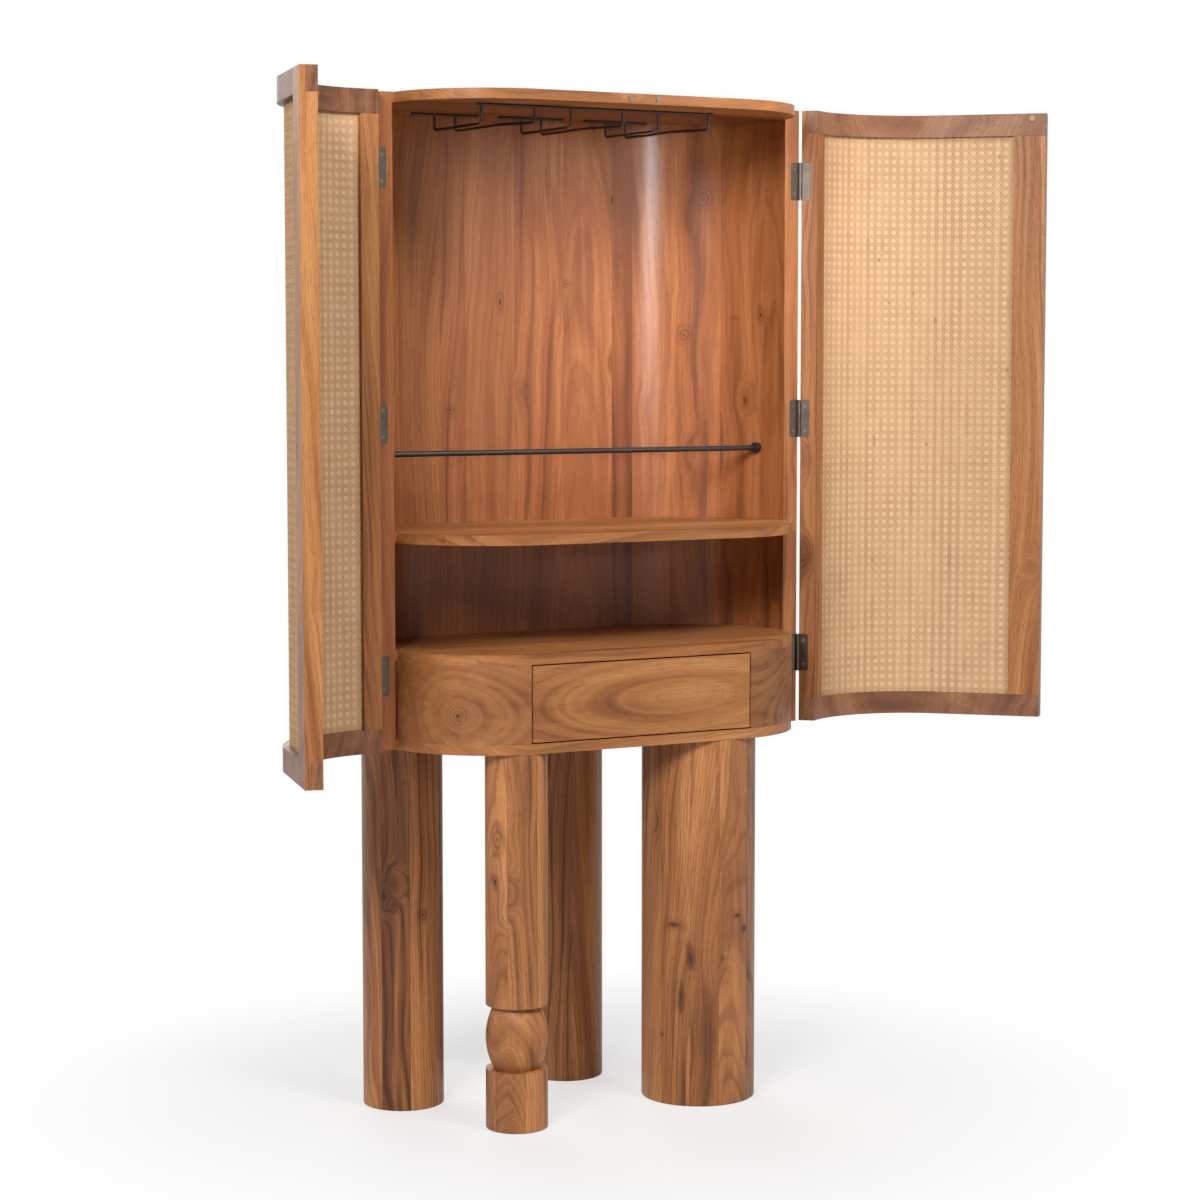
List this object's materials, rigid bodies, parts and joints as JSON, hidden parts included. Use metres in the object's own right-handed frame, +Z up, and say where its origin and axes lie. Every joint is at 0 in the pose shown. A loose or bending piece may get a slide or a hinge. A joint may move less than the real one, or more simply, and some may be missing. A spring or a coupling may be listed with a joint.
{
  "type": "bar armoire",
  "caption": "Stadium-plan bar cabinet with curved cane-panelled hinged doors, shelf, inset drawer and wire stemware rack, on mismatched round wooden legs.",
  "frame": {"origin": "on the floor under the middle of the cabinet's plan", "axes": "+X to the right seen from the front, +Y to the back, +Z up"},
  "size_m": [1.6409, 0.6408, 1.83],
  "materials": {
    "wood_body": "oiled warm brown hardwood with strong grain",
    "wood_dark": "oiled darker brown hardwood",
    "wood_leg": "turned hardwood with dark streaks",
    "wood_inner": "plain hardwood of the drawer and its case",
    "cane": "woven natural cane webbing",
    "core": "light tan backing panel",
    "black_metal": "satin black powder coat",
    "hinge_steel": "dark bronzed steel",
    "catch_metal": "satin nickel",
    "bolt_steel": "zinc-plated steel"
  },
  "bodies": {
    "carcass": {"back_panel": "wood_body", "left_side_shell": "wood_body", "right_side_shell": "wood_body", "top_panel": "wood_body", "bottom_panel": "wood_body", "shelf": "wood_body", "drawer_deck": "wood_body", "left_fascia": "wood_body", "right_fascia": "wood_body", "left_drawer_cheek": "wood_inner", "right_drawer_cheek": "wood_inner", "left_drawer_runner": "wood_inner", "right_drawer_runner": "wood_inner", "left_leg": "wood_leg", "right_leg": "wood_leg", "back_leg": "wood_leg", "front_leg_post": "wood_leg", "front_leg_ball": "wood_leg", "front_leg_foot": "wood_leg", "front_leg_dowel": "wood_inner", "leg_bolts": "bolt_steel", "bottle_rail": "black_metal", "bottle_rail_bosses": "black_metal", "rack_front_bar": "black_metal", "rack_rear_bars": "black_metal", "rack_rails": "black_metal", "catch_sleeves": "catch_metal", "left_hinge_cabinet_leaves": "hinge_steel", "left_hinge_pins": "hinge_steel", "left_hinge_cabinet_screws": "hinge_steel", "right_hinge_cabinet_leaves": "hinge_steel", "right_hinge_pins": "hinge_steel", "right_hinge_cabinet_screws": "hinge_steel"},
    "left_door": {"left_door_hinge_stile": "wood_body", "left_door_meeting_stile": "wood_body", "left_door_bottom_rail": "wood_dark", "left_door_top_rail": "wood_dark", "left_door_core": "core", "left_door_outer_cane": "cane", "left_door_inner_cane": "cane", "left_door_strike": "catch_metal", "left_hinge_door_leaves": "hinge_steel", "left_hinge_door_screws": "hinge_steel"},
    "right_door": {"right_door_hinge_stile": "wood_body", "right_door_meeting_stile": "wood_body", "right_door_bottom_rail": "wood_dark", "right_door_top_rail": "wood_dark", "right_door_core": "core", "right_door_outer_cane": "cane", "right_door_inner_cane": "cane", "right_door_strike": "catch_metal", "right_hinge_door_leaves": "hinge_steel", "right_hinge_door_screws": "hinge_steel"},
    "drawer": {"drawer_front": "wood_body", "drawer_left_side": "wood_inner", "drawer_right_side": "wood_inner", "drawer_back": "wood_inner", "drawer_base": "wood_inner"},
    "left_catch": {"left_catch_plunger": "catch_metal"},
    "right_catch": {"right_catch_plunger": "catch_metal"}
  },
  "joints": [
    {"name": "left_door_hinge", "type": "hinge", "parent": "carcass", "child": "left_door", "pos_m": [-0.43915, -0.025, 1.253], "axis": [0, 0, -1], "range_deg": [-104, 56]},
    {"name": "right_door_hinge", "type": "hinge", "parent": "carcass", "child": "right_door", "pos_m": [0.43915, -0.025, 1.253], "axis": [0, 0, 1], "range_deg": [-135, 25]},
    {"name": "drawer_slide", "type": "slide", "parent": "carcass", "child": "drawer", "axis": [0, -1, 0], "range_m": [0, 0.25]},
    {"name": "left_catch_press", "type": "slide", "parent": "carcass", "child": "left_catch", "axis": [0, -1, 0], "range_m": [-0.003, 0], "stiffness_N_per_m": 200},
    {"name": "right_catch_press", "type": "slide", "parent": "carcass", "child": "right_catch", "axis": [0, -1, 0], "range_m": [-0.003, 0], "stiffness_N_per_m": 200}
  ]
}
